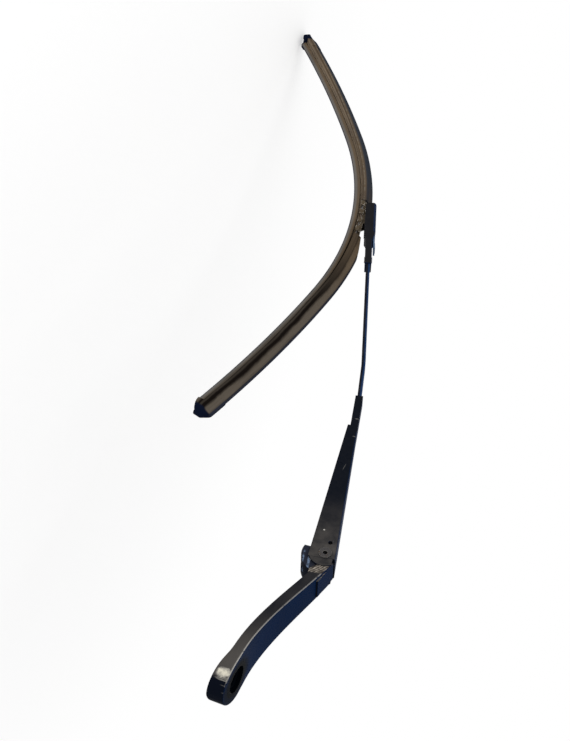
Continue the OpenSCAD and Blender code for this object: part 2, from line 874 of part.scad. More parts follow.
module rail_left() {
    color("slategray") rail(1);
}

module rail_right() {
    color("slategray") rail(-1);
}

// Half section of the wiping rubber: head, neck, shoulder, hinge and lip
module rubber_half() {
    polygon([[0, head_z], [2.6, head_z], [2.6, 0], [neck_hw, 0], [neck_hw, -rail_t], [3, -rail_t],
        [3, -rail_t - 1.2], [0.5, -rail_t - 1.5], [0.5, -rail_t - 2.2], [2.4, -rail_t - 2.6],
        [2.2, -rail_t - 3.4], [0.4, -lip_z], [0, -lip_z]]);
}

module wiping_rubber() {
    color("saddlebrown") in_blade()
        blade_sweep(-lip_len, lip_len) {
            rubber_half();
            mirror([1, 0])
                rubber_half();
        }
}

// Outline of the spoiler, with the hollow wind face on the +Y side
module spoiler_outline(grow) {
    hw = rail_hw + spoiler_wall + grow;
    top = crest_z + grow;
    difference() {
        polygon([[-hw, -rail_t - 1], [hw, -rail_t - 1], [hw, 0.8], [1.2 + grow, top - 0.5],
            [0.4 + grow, top], [-1.4, top], [-hw, 1.6]]);
        translate([9.2 + grow, 8.6])
            circle(6.8);
    }
}

// Grooves of the spoiler for the rails and the rubber
module spoiler_grooves() {
    translate([-rail_hw, -rail_t])
        square([2 * rail_hw, rail_t]);
    translate([-2.7, 0])
        square([5.4, head_z + 0.1]);
    translate([-3.2, -10])
        square([6.4, 10]);
}

module spoiler_tip() {
    color("darkolivegreen") in_blade() difference() {
        blade_sweep(spoiler_tip_from, blade_half - cap_len)
            difference() {
                spoiler_outline(0);
                spoiler_grooves();
            }
        // The inner end is sloped like that of the other half, but steeper
        at_blade(spoiler_tip_from)
            plate(40)
                polygon([[8, crest_z + 0.6], [-1, crest_z - 2.5], [-1, 20], [8, 20]]);
    }
}

module spoiler_heel() {
    color("darkolivegreen") in_blade() difference() {
        blade_sweep(-blade_half + cap_len, -spoiler_heel_from)
            difference() {
                spoiler_outline(0);
                spoiler_grooves();
            }
        // The inner end falls away under the sleeve of the arm
        at_blade(-spoiler_heel_from)
            plate(40)
                polygon([[-30, crest_z + 0.6], [1, crest_z - 3.8], [1, 20], [-30, 20]]);
    }
}

// Both caps cover the ends of the rails and stop the spoiler
module end_cap(side) {
    inner = 0.6;
    from = side > 0 ? blade_half - cap_len + 0.1 : -blade_half;
    to = side > 0 ? blade_half : -blade_half + cap_len - 0.1;
    difference() {
        blade_sweep(from, to)
            spoiler_outline(inner);
        blade_sweep(side > 0 ? from - 1 : -rail_len - 0.2, side > 0 ? rail_len + 0.2 : to + 1)
            spoiler_grooves();
        blade_sweep(from - 1, to + 1)
            translate([-3.2, -10])
                square([6.4, 10 - rail_t]);
    }
}

module tip_cap() {
    color("black") in_blade() difference() {
        end_cap(1);
        // The roof of the tip cap slopes down to its end
        at_blade(blade_half)
            plate(40)
                polygon([[-16, crest_z + 1], [1, 2], [1, 20], [-16, 20]]);
    }
}

module heel_cap() {
    color("black") in_blade() difference() {
        end_cap(-1);
        at_blade(-blade_half)
            plate(40)
                difference() {
                    translate([-1, 1])
                        square([9, 20]);
                    translate([8, 1])
                        circle(8.2);
                }
    }
}

mounting_head();
pivot_bush_left();
pivot_bush_right();
hanger_pin();
arm_channel();
pivot_rivet();
anchor_pin();
arm_rod();
arm_end();
end_rivet();
blade_adapter();
release_tab();
tab_pin();
spring_link();
tension_spring();
connector_bracket();
blade_pin();
rail_left();
rail_right();
wiping_rubber();
spoiler_tip();
spoiler_heel();
tip_cap();
heel_cap();
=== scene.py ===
"""Looks of a front wiper arm with a flat blade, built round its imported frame.

The arm lies at rest: the spindle axis is Z, the arm reaches along +X, and the dusty
wind side faces +Y. Lengths are metres and angles are radians.
"""

import json
import math

import bpy
import numpy as np
from bpy.props import FloatProperty, FloatVectorProperty, IntProperty, PointerProperty
from bpy.types import Operator, Panel, PropertyGroup
from mathutils import Matrix, Vector


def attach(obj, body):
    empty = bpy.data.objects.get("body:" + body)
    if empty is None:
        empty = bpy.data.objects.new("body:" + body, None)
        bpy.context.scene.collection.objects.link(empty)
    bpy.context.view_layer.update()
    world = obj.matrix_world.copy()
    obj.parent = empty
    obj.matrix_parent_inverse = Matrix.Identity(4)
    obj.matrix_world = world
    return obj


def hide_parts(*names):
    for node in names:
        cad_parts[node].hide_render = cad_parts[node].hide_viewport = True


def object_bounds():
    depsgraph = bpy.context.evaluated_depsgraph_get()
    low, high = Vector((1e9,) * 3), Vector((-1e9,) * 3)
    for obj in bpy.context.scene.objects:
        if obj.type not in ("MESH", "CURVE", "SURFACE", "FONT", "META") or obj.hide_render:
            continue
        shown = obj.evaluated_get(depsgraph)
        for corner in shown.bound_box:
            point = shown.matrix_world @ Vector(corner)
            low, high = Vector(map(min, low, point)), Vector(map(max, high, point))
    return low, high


bl_info = {
    "name": "Wiper arm looks",
    "version": (1, 0, 0),
    "blender": (4, 5, 0),
    "location": "View3D > Sidebar > Wiper arm",
    "description": "Dresses the packed wiper arm with its surfaces and finishes",
    "category": "Object",
}

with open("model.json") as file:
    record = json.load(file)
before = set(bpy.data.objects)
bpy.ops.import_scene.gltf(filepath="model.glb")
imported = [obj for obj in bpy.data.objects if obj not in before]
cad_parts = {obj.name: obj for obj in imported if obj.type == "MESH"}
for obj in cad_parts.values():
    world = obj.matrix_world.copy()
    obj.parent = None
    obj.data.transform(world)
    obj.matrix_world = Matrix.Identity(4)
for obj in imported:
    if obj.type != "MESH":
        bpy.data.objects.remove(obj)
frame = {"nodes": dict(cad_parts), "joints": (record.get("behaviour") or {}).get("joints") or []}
CAD_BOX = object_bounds()
NODES = frame["nodes"]
JOINTS = {joint["name"]: joint for joint in frame["joints"]}
PIVOT = tuple(JOINTS["arm_pivot"]["pos_m"])
MM = 0.001
SHARP_ANGLE = math.radians(35)


# Sizes and colours


def length_property(name, description, default):
    """A size in metres that the panel shows."""
    return FloatProperty(name=name, description=description, default=default, unit="LENGTH")


def angle_property(name, description, degrees):
    """An angle that the panel shows. Its default is given in degrees."""
    return FloatProperty(
        name=name, description=description, default=math.radians(degrees), unit="ROTATION")


def colour_property(name, description, default):
    """A linear colour that the panel shows."""
    return FloatVectorProperty(
        name=name, description=description, default=default, size=3, subtype="COLOR", min=0, max=1)


class ArmSizes(PropertyGroup):
    """Sizes of the arm that place its surfaces in the frame."""

    slope: angle_property(
        "Channel slope", "Slope of the pressed channel below the spindle plane", 12.5)
    channel_length: length_property(
        "Channel length", "Length of the tapered channel from the pivot", 0.1253)
    channel_roof: length_property(
        "Channel roof", "Height of the channel roof over its axis at the front", 0.0037)
    crimp_length: length_property(
        "Crimp length", "Length of the part that is crimped round the rod", 0.0318)
    crimp_slope: angle_property(
        "Crimp slope", "Slope of the crimped part against the channel", 1.4)
    sheet: length_property("Sheet", "Thickness of the pressed sheet", 0.0012)
    rod_width: length_property("Rod width", "Width of the flat rod", 0.008)
    rod_thickness: length_property("Rod thickness", "Thickness of the flat rod", 0.0031)
    rod_tail: length_property(
        "Rod tail", "Length of the rod inside the channel behind the crimp", 0.022)
    rod_first: length_property("First stretch", "Length of the free rod up to its bend", 0.039)
    rod_first_slope: angle_property("First slope", "Slope of the rod up to its bend", 3.3)
    rod_second: length_property(
        "Second stretch", "Length of the free rod from its bend to the arm end", 0.1249)
    rod_second_slope: angle_property("Second slope", "Slope of the rod from its bend on", 6.35)
    rod_in_end: length_property(
        "Rod in the arm end", "Length of the rod inside the sleeve of the arm end", 0.049)
    pin_along: length_property(
        "Blade pin", "Distance from the rear of the sleeve to the blade pin", 0.064)
    pin_drop: length_property(
        "Blade pin depth", "Depth of the blade pin under the rod axis", 0.001)


class BladeSizes(PropertyGroup):
    """Sizes of the blade's curve and section."""

    half_length: length_property("Half length", "Half of the blade's length along its curve", 0.3)
    middle_radius: length_property(
        "Middle radius", "Radius of the middle stretch of the curve", 0.365)
    middle_half: length_property(
        "Middle half length", "Half of the length of the middle stretch", 0.121)
    outer_radius: length_property("Outer radius", "Radius of the two outer stretches", 1.28)
    drop: length_property(
        "Blade depth", "Depth of the rails under the rod axis, at the blade pin", 0.0088)
    turn: angle_property(
        "Blade turn", "Upward turn of the blade against the rod, at the blade pin", 5.75)
    roll: angle_property(
        "Blade roll", "Roll of the blade about its length, to suit the glass", 9.3)
    roll_height: length_property("Roll height", "Height of the roll axis over the rails", 0.00225)
    pin_back: length_property(
        "Pin offset", "Distance of the blade pin from the blade middle, towards the heel", 0.0093)
    crest: length_property(
        "Crest height", "Height of the spoiler crest over the blade middle", 0.0085)
    lip: length_property("Lip depth", "Depth of the wiping lip under the blade middle", 0.0085)
    cap_length: length_property("Cap length", "Length of one end cap", 0.022)
    tip_from: length_property(
        "Tip spoiler start", "Start of the tip side spoiler from the blade middle", 0.0165)
    heel_from: length_property(
        "Heel spoiler start", "Start of the heel side spoiler from the blade middle", 0.036)


class FinishColours(PropertyGroup):
    """Colours of the finishes, as linear values."""

    # Its blue is a painted sky reflection: the finishes give this colour to faces that look up
    paint: colour_property(
        "Paint", "Black-blue paint of the metal parts", (0.0022, 0.0140, 0.0540))
    road_dust: colour_property(
        "Road dust", "Brown-grey dust on the wind side", (0.084, 0.077, 0.071))
    heel_dust: colour_property(
        "Heel dust", "Grey-brown dust on the heel half of the blade", (0.115, 0.096, 0.076))
    tip_dust: colour_property(
        "Tip dust", "Browner dust on the tip half of the blade", (0.136, 0.098, 0.062))
    pale_dust: colour_property("Pale dust", "Dried dust in the grooves", (0.30, 0.265, 0.22))
    bare_alloy: colour_property(
        "Bare alloy", "Metal where the paint has worn through", (0.52, 0.50, 0.46))
    # A painted highlight: the sky's reflection along the rod's upper edge
    blue_gleam: colour_property(
        "Blue gleam", "Thinned paint on ridges and on the lobe of the knuckle",
        (0.075, 0.125, 0.220))
    rubber: colour_property("Rubber", "Clean rubber of the blade", (0.0075, 0.0055, 0.0045))
    plastic: colour_property(
        "Plastic", "Black plastic of the arm end and the adapter", (0.0085, 0.0090, 0.0115))


class StudioSettings(PropertyGroup):
    """Light, floor and camera."""

    key_power: FloatProperty(
        name="Key lamp", description="Power of the large soft lamp", default=9.0, unit="POWER")
    sky: FloatProperty(
        name="Sky", description="Strength of the even light from all round", default=0.62, min=0)
    focal_length: FloatProperty(
        name="Focal length", description="Focal length of the camera in millimetres",
        default=62.4676, unit="CAMERA")
    easing_steps: IntProperty(
        name="Easing steps", description="Points on each eased edge of a section", default=4, min=2)


class WiperSettings(PropertyGroup):
    """All the settings of the wiper arm."""

    arm: PointerProperty(type=ArmSizes)
    blade: PointerProperty(type=BladeSizes)
    colours: PointerProperty(type=FinishColours)
    studio: PointerProperty(type=StudioSettings)


def settings():
    """The wiper's settings, which register() puts on the scene."""
    return bpy.context.scene.wiper_looks


# Frames and surfaces


def turned(angle, points):
    """Points turned about Y: x' = x cos a + z sin a and z' = z cos a - x sin a."""
    x, y, z = np.moveaxis(np.asarray(points, float), -1, 0)
    return np.stack([x * np.cos(angle) + z * np.sin(angle), y,
                     z * np.cos(angle) - x * np.sin(angle)], -1)


def from_channel(points):
    """From the channel frame, with its origin in the lift pivot, to the row frame."""
    return turned(settings().arm.slope, points) + np.array(PIVOT)


def fall(angle):
    """Unit vector along a line that falls by the angle: (cos a, 0, -sin a)."""
    return np.array([math.cos(angle), 0, -math.sin(angle)])


def rod_corners():
    """Tail, start and end of the rod's middle line in the channel frame.

    The free rod starts where the crimp ends, a small gap clear of the sheet above it.
    """
    a, gap = settings().arm, 0.025 * MM
    rise = np.array([math.sin(a.crimp_slope), 0, math.cos(a.crimp_slope)])
    crimp_end = np.array([a.channel_length, 0, a.channel_roof])
    crimp_end = crimp_end + a.crimp_length * fall(a.crimp_slope)
    start = crimp_end - (a.sheet + gap + a.rod_thickness / 2) * rise
    tail = start - (a.crimp_length + a.rod_tail) * fall(a.crimp_slope)
    end = start + a.rod_first * fall(a.rod_first_slope) + a.rod_second * fall(a.rod_second_slope)
    return tail, start, end


def from_arm_end(points):
    """From the frame of the arm end, with its origin at the rear of the sleeve."""
    return from_channel(turned(settings().arm.rod_second_slope, points) + rod_corners()[2])


def rolled(angle, points):
    """Points turned about X: y' = y cos a - z sin a and z' = y sin a + z cos a."""
    x, y, z = np.moveaxis(np.asarray(points, float), -1, 0)
    return np.stack([x, y * np.cos(angle) - z * np.sin(angle),
                     y * np.sin(angle) + z * np.cos(angle)], -1)


def from_blade(points):
    """From the blade frame, with its origin in the middle of the blade, to the row frame.

    The blade is carried along its curve up to the pin, rolled about its base plate and
    turned up against the rod.
    """
    a, b = settings().arm, settings().blade
    x, z, slope = blade_curve(b.pin_back)
    axis = np.array([0, 0, b.roll_height])
    at_pin = rolled(b.roll, turned(slope, points) + np.array([x, 0, z]) - axis) + axis
    low = at_pin + np.array([0, 0, a.pin_drop - b.drop])
    return from_arm_end(turned(-b.turn, low) + np.array([a.pin_along, 0, -a.pin_drop]))


def blade_curve(s):
    """Middle line at the length s: an arc of the middle radius, then one of the outer radius.

    The slope b is s over the radius, summed over both arcs. Each arc adds its radius
    times the change of sin b to x, and of cos b to z.
    """
    b = settings().blade
    inner = np.clip(s, -b.middle_half, b.middle_half)
    first = inner / b.middle_radius
    slope = first + (s - inner) / b.outer_radius
    x = b.middle_radius * np.sin(first) + b.outer_radius * (np.sin(slope) - np.sin(first))
    z = b.middle_radius * (np.cos(first) - 1) + b.outer_radius * (np.cos(slope) - np.cos(first))
    return x, z, slope


def eased(corners, reach, steps=None):
    """Closed outline with eased corners: each corner p gives (1-t)^2 a + 2t(1-t) p + t^2 b.

    a and b lie on the corner's two sides, at the reach or at 0.45 of the side from p.
    """
    steps = steps or settings().studio.easing_steps
    p = np.asarray(corners, float)

    def cut(side):
        length = np.maximum(np.linalg.norm(side, axis=1, keepdims=True), 1e-9)
        return (p + side * np.minimum(reach / length, 0.45))[:, None]

    t = np.linspace(0, 1, steps)[None, :, None]
    a, b = cut(np.roll(p, 1, 0) - p), cut(np.roll(p, -1, 0) - p)
    return ((1 - t) ** 2 * a + 2 * t * (1 - t) * p[:, None] + t ** 2 * b).reshape(-1, 2)


def make_mesh(name, grid, ring=True):
    """A mesh of a grid of points: a quad between each pair of neighbouring rows and columns.

    ring joins the last column to the first, and closes the first and last rows with a face.
    """
    m, n = grid.shape[:2]
    i = np.arange(m - 1)[:, None]
    j = np.arange(n if ring else n - 1)[None, :]
    i2, j2 = i + 1, (j + 1) % n
    quads = np.stack(np.broadcast_arrays(i * n + j, i * n + j2, i2 * n + j2, i2 * n + j), -1)
    faces = quads.reshape(-1, 4).tolist()
    if ring:
        faces += [np.arange(n)[::-1].tolist(), (np.arange(n) + (m - 1) * n).tolist()]
    mesh = bpy.data.meshes.new(name)
    mesh.from_pydata(grid.reshape(-1, 3).tolist(), [], faces)
    mesh.validate()
    mesh.polygons.foreach_set("use_smooth", np.ones(len(mesh.polygons), bool))
    mesh.set_sharp_from_angle(angle=SHARP_ANGLE)
    piece = bpy.data.objects.new(name, mesh)
    bpy.context.scene.collection.objects.link(piece)
    return piece


def store_place(piece, name, values):
    """Keeps one vector for each point of a piece, which its finish reads."""
    field = piece.data.attributes.new(name, "FLOAT_VECTOR", "POINT")
    field.data.foreach_set("vector", np.asarray(values, np.float32).ravel())


def blade_sweep(name, sections, lengths):
    """A closed section carried along the blade curve.

    sections holds for each length its points as across and up. A point lands at
    (x + up sin b, across, z + up cos b), with x, z and b of the curve at that length.
    """
    x, z, slope = (v[:, None] for v in blade_curve(lengths))
    across, up = sections[..., 0], sections[..., 1]
    grid = np.stack([x + up * np.sin(slope), across, z + up * np.cos(slope)], -1)
    piece = make_mesh(name, from_blade(grid))
    place = np.stack([np.broadcast_to(lengths[:, None], across.shape), across, up], -1)
    store_place(piece, "blade_place", place.reshape(-1, 3))
    return piece


def outward(piece):
    """Turns the mesh inside out if its signed volume is negative."""
    mesh = piece.data
    mesh.calc_loop_triangles()
    co = np.empty(len(mesh.vertices) * 3)
    mesh.vertices.foreach_get("co", co)
    tri = np.empty(len(mesh.loop_triangles) * 3, int)
    mesh.loop_triangles.foreach_get("vertices", tri)
    a, b, c = np.moveaxis(co.reshape(-1, 3)[tri.reshape(-1, 3)], 1, 0)
    if np.einsum("ij,ij->i", a, np.cross(b, c)).sum() < 0:
        mesh.flip_normals()
    return piece


# Shader maths


class Socket:
    """One number or vector of a finish. Sums and products of sockets add Math nodes."""

    def __init__(self, finish, link):
        self.finish = finish
        self.link = link

    def calc(self, operation, *others, first=None):
        values = [self if first is None else first, *others]
        return self.finish.node("ShaderNodeMath", {"operation": operation}, dict(enumerate(values)))

    def __add__(self, other):
        return self.calc("ADD", other)

    def __sub__(self, other):
        return self.calc("SUBTRACT", other)

    def __rsub__(self, other):
        return self.calc("SUBTRACT", self, first=other)

    def __mul__(self, other):
        return self.calc("MULTIPLY", other)

    def __truediv__(self, other):
        return self.calc("DIVIDE", other)

    def __pow__(self, other):
        return self.calc("POWER", other)

    __radd__ = __add__
    __rmul__ = __mul__

    def least(self, other):
        return self.calc("MINIMUM", other)

    def most(self, other):
        return self.calc("MAXIMUM", other)

    def size(self):
        return self.calc("ABSOLUTE")

    def wave(self):
        return self.calc("SINE")

    def ramp(self, low, high):
        """0 below low and 1 above high, smooth between them. low may be the larger."""
        return self.finish.node(
            "ShaderNodeMapRange", {"interpolation_type": "SMOOTHSTEP"},
            {"Value": self, "From Min": low, "From Max": high})

    def band(self, low, high, soft):
        """1 between low and high, and 0 outside, with soft sides."""
        return self.ramp(low - soft, low + soft) * self.ramp(high + soft, high - soft)


class Nodes:
    """Builds the node tree of a material or of the world."""

    def __init__(self, owner):
        owner.use_nodes = True
        self.tree = owner.node_tree
        self.tree.nodes.clear()

    def node(self, kind, options=None, sockets=None, out=0):
        """Adds a node: its options are set first, then its sockets' values or links.

        It returns the output that out names, or the node itself where out is None.
        """
        made = self.tree.nodes.new(kind)
        for key, value in (options or {}).items():
            setattr(made, key, value)
        for key, value in (sockets or {}).items():
            socket = made.inputs[key]
            if isinstance(value, Socket):
                self.tree.links.new(value.link, socket)
            elif hasattr(value, "__len__") and len(value) == 3 and len(socket.default_value) == 4:
                socket.default_value = (*value, 1)
            else:
                socket.default_value = value
        return Socket(self, made.outputs[out]) if out is not None else made


class Finish(Nodes):
    """A procedural material: a Principled BSDF and the patterns that feed it."""

    def __init__(self, name):
        self.material = bpy.data.materials.new(name)
        super().__init__(self.material)
        self.point = self.node("ShaderNodeTexCoord", out="Object")
        self.normal = self.node("ShaderNodeNewGeometry", out="Normal")

    def part(self, vector, axis):
        """One component of a vector."""
        return self.node("ShaderNodeSeparateXYZ", sockets={0: vector}, out=axis)

    def mix(self, mask, a, b):
        """Colour a where the mask is 0 and colour b where it is 1."""
        return self.node("ShaderNodeMix", {"data_type": "RGBA"}, {0: mask, 6: a, 7: b}, out=2)

    def noise(self, scale, detail=3, rough=0.55, stretch=None, at=None):
        """Cloudy noise around 0.5. stretch scales the axes before the pattern is read."""
        at = at or self.point
        if stretch:
            at = self.node("ShaderNodeMapping", sockets={"Vector": at, "Scale": stretch})
        return self.node("ShaderNodeTexNoise", {"noise_dimensions": "3D"},
                         {"Vector": at, "Scale": scale, "Detail": detail, "Roughness": rough})

    def specks(self, scale, radius):
        """Small round spots: 1 inside the radius round scattered points, 0 outside."""
        near = self.node("ShaderNodeTexVoronoi", sockets={"Vector": self.point, "Scale": scale})
        return near.ramp(radius, radius * 0.5)

    def local(self, origin, angle):
        """The place on the object seen from an origin, with X along a slope in the XZ plane."""
        moved = self.node("ShaderNodeVectorMath", {"operation": "SUBTRACT"},
                          {0: self.point, 1: origin})
        return self.node("ShaderNodeVectorRotate", {"rotation_type": "Y_AXIS"},
                         {"Vector": moved, "Angle": -angle})

    def eased_normal(self, radius):
        """Normal of the surface with its edges rounded off to a radius."""
        return self.node("ShaderNodeBevel", {"samples": 6}, {"Radius": radius})

    def edge(self, radius, low, high):
        """Mask of the edges: how far the eased normal leans away from the face's own."""
        lean = self.node("ShaderNodeVectorMath", {"operation": "DOT_PRODUCT"},
                         {0: self.eased_normal(radius), 1: self.normal}, out="Value")
        return (1 - lean).ramp(low, high)

    def bump(self, height, strength, distance, normal=None):
        """Normal bent by a height pattern. distance is the height of a full step, in metres."""
        sockets = {"Height": height, "Strength": strength, "Distance": distance}
        if normal is not None:
            sockets["Normal"] = normal
        return self.node("ShaderNodeBump", sockets=sockets)

    def shade(self, colour, roughness, normal=None, metallic=0.0, over=None, **constants):
        """Joins the patterns to the BSDF. constants are plain values of its own sockets.

        over is a mask and a second shader, which is seen where the mask is 1. The gloss of
        every piece is faint and a little blue.
        """
        sockets = {"Base Color": colour, "Roughness": roughness, "Metallic": metallic,
                   "Specular IOR Level": 0.003, "Specular Tint": (0.45, 0.62, 1.0)}
        if normal is not None:
            sockets["Normal"] = normal
        sockets.update({key.replace("_", " "): value for key, value in constants.items()})
        body = self.node("ShaderNodeBsdfPrincipled", sockets=sockets, out="BSDF")
        if over:
            body = self.node("ShaderNodeMixShader", sockets={0: over[0], 1: body, 2: over[1]})
        self.node("ShaderNodeOutputMaterial", sockets={"Surface": body}, out=None)
        return self.material


def dress(name, material):
    """Gives a CAD node's object its finish."""
    piece = NODES[name]
    if not piece.material_slots:
        raise RuntimeError(f"{name} has no material slot")
    for slot in piece.material_slots:
        slot.material = material


def place_piece(piece, material, body, slot, *nodes):
    """Finishes a new piece, lets it ride on its body and stand for its CAD nodes."""
    outward(piece)
    piece.data.materials.append(material)
    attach(piece, body)
    if nodes:
        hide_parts(*nodes)


# Finishes


def cast_paint():
    """Paint on the die-cast head: wind-side dust, worn edges, a bare knuckle and painted light."""
    # Painted light on the head: a blue sky reflection on faces that look up, highlights on the end
    # and the knuckle's lobe, and shade in the nut's recess
    f, c = Finish("cast_paint"), settings().colours
    seat = f.local(PIVOT, settings().arm.slope)
    x, z = f.part(seat, 0), f.part(seat, 2)
    row_x, row_y, row_z = (f.part(f.point, axis) for axis in range(3))
    side = f.part(f.normal, 1)
    wind, top = side.ramp(0.45, 0.85), f.part(f.normal, 2).ramp(0.2, 0.8)
    cloud, fine = f.noise(55, 5, 0.6), f.noise(420, 3)
    streak = f.noise(90, 4, 0.6, stretch=(0.3, 1, 1.6))
    # Dust lies on the wind side, most of it towards the spindle end
    heavy = row_x.ramp(0.052, -0.006)
    dust = 0.20 + 0.72 * heavy + 0.42 * (cloud - 0.5) + 0.30 * (streak - 0.5)
    dust = wind * dust.least(1).most(0) * row_x.ramp(-0.0118, -0.0088)
    # Faces that look up get the paint with its painted blue sky reflection, the others a darker
    # painted shade
    shaded = (0.0045, 0.0060, 0.0115)
    paint = f.mix(top * (0.75 + 0.5 * (cloud - 0.5)), shaded, c.paint)
    colour = f.mix(dust, paint, c.road_dust)
    # The knuckle has lost its paint behind the channel and shows wavy lines of dried dust
    knuckle = wind * x.ramp(-0.0180, -0.0172) * row_y.size().ramp(0.0110, 0.0104)
    across = (z - x) * 0.7071 + (f.noise(150, 3) - 0.5) * 0.0035
    lines = ((across * 4100).wave() * 0.5 + 0.5) * f.noise(210, 3).ramp(0.34, 0.62)
    outer = z - x - 0.0047
    bare = knuckle * outer.ramp(-0.0014, 0.0010)
    film, dried = (0.048, 0.041, 0.036), (0.42, 0.37, 0.31)
    colour = f.mix(bare * 0.95, colour, f.mix(lines, film, dried))
    # Below them the lobe keeps its paint, with two pale streaks that are painted highlights, the
    # sky's reflection on its rounded rim
    lobe = knuckle * outer.ramp(0.0010, -0.0014)
    near_streak = z.band(-0.0104, -0.0088, 0.0004) * x.band(-0.0145, -0.0020, 0.0015)
    far_streak = z.band(-0.0140, -0.0130, 0.0004) * x.band(-0.0135, 0.0010, 0.0015)
    gleam = lobe * near_streak.most(far_streak) * fine.ramp(0.36, 0.58)
    lobe_paint, pale_blue = (0.022, 0.026, 0.042), (0.17, 0.24, 0.36)
    colour = f.mix(gleam * 0.9, f.mix(lobe * 0.7, colour, lobe_paint), pale_blue)
    # The nut's recess is painted black: painted shade inside it and old greasy dirt on the top
    # round it, and dark streaks lie round the recess
    round_bore = (row_x * row_x + row_y * row_y) ** 0.5
    grease_and_recess_shade = (round_bore + (cloud - 0.5) * 0.003).ramp(0.0128, 0.0112)
    grease_and_recess_shade = grease_and_recess_shade * top.most(row_z.ramp(0.0068, 0.0058))
    dark_streaks = (round_bore + (streak - 0.5) * 0.012).ramp(0.0185, 0.0125)
    dark_streaks = dark_streaks * (0.45 + 0.9 * streak).least(1) * top * 0.9
    colour = f.mix(grease_and_recess_shade.most(dark_streaks), colour, (0.0014, 0.0022, 0.0036))
    # The top edge of the wind side has a thin pale line, partly rubbed bare and partly a painted
    # highlight of the rounded edge
    lean = f.part(f.eased_normal(0.0007), 2)
    line = side.ramp(0.5, 0.7) * lean.ramp(0.16, 0.40) * row_x.ramp(0.0885, 0.0865)
    line = line * fine.ramp(0.24, 0.44) * (0.55 + 0.45 * heavy) * round_bore.ramp(0.0130, 0.0140)
    # A painted highlight where the side turns round the end, with pale streaks below it
    patch_x, patch_z = (row_x + 0.0074 - 0.10 * row_z) / 0.0027, row_z / 0.0050
    blot = patch_x * patch_x + patch_z * patch_z + (f.noise(240, 5, 0.7) - 0.5) * 2.6
    hair = f.noise(520, 2, 0.5, stretch=(1, 1, 0.15)).ramp(0.55, 0.68)
    hair = hair * row_x.band(-0.0155, -0.0080, 0.001)
    bright = (blot.ramp(1.3, 0.1) + hair * 0.35).least(1)
    bright = bright * side.ramp(0.2, 0.5) * row_z.ramp(-0.0050, -0.0030)
    chips = f.specks(95, 0.10) * f.noise(35).ramp(0.58, 0.66) * wind * 0.6
    # worn joins the rubbed line and the chips with the painted highlight, which is mixed to a pale
    # cream, the rest to bare alloy
    worn = (line * 0.75).most(bright).most(chips)
    colour = f.mix(worn, colour, f.mix(bright, c.bare_alloy, (0.74, 0.70, 0.58)))
    roughness = 0.40 + 0.34 * dust.most(bare) + 0.10 * (cloud - 0.5)
    height = cloud * 0.25 + f.noise(900, 2) * 0.20 + lines * bare * 0.6 - worn * 0.6
    normal = f.bump(height, 0.25, 0.0003, f.eased_normal(0.0009))
    return f.shade(colour, roughness, normal, metallic=worn * 0.3)


def channel_paint():
    """Black paint on the pressed channel, dusty towards the pivot, with fine scratches."""
    f, c = Finish("channel_paint"), settings().colours
    seat = f.local(PIVOT, settings().arm.slope)
    x, z = f.part(seat, 0), f.part(seat, 2)
    wind, top = f.part(f.normal, 1).ramp(0.4, 0.9), f.part(f.normal, 2).ramp(0.3, 0.9)
    cloud, fine, blotch = f.noise(60, 5, 0.62), f.noise(420, 3, 0.6), f.noise(95, 4, 0.6)
    near = x.ramp(0.060, -0.004) * (0.66 + 1.5 * (cloud - 0.5) + 1.3 * (blotch - 0.5))
    dust = (wind * (near + 0.10 * (fine - 0.5) + 0.02)).least(1).most(0)
    # Faces that look up get the paint with its painted sky reflection, the others a darker painted
    # shade, and the rims a painted blue sky sheen
    shaded, rim_sky_sheen = (0.0060, 0.0078, 0.0125), (0.004, 0.012, 0.040)
    paint = f.mix(top * (0.75 + 0.5 * (cloud - 0.5)), shaded, c.paint)
    rim = f.edge(0.0006, 0.04, 0.2) * f.noise(300, 3).ramp(0.42, 0.66)
    colour = f.mix(rim * 0.8, f.mix(dust, paint, c.road_dust), rim_sky_sheen)
    # One larger chip near the pivot and two scratches near the front. Each has its middle,
    # along the channel and above its axis, and its half sizes
    marks = None
    for along, above, long, high in ((0.0201, -0.0038, 0.0006, 0.0007),
                                     (0.1137, 0.0028, 0.0003, 0.0015),
                                     (0.1322, 0.0019, 0.0003, 0.0014)):
        side, up = (x - along) / long, (z - above) / high
        mark = (side * side + up * up + (fine - 0.5) * 1.2).ramp(1.1, 0.6)
        marks = mark if marks is None else marks.most(mark)
    hairs = f.noise(340, 2, 0.5, stretch=(0.06, 1, 1)).ramp(0.66, 0.70)
    hairs = hairs * f.noise(45).ramp(0.52, 0.62) * 0.20 * wind
    worn = hairs.most(marks * wind * x.ramp(0.06, 0.05).most(0.35) * 0.85)
    colour = f.mix(worn, colour, c.bare_alloy)
    roughness = 0.40 + 0.32 * dust + 0.10 * (fine - 0.5)
    normal = f.bump(fine * 0.4 + cloud * 0.3 - worn, 0.25, 0.0002, f.eased_normal(0.0006))
    return f.shade(colour, roughness, normal)


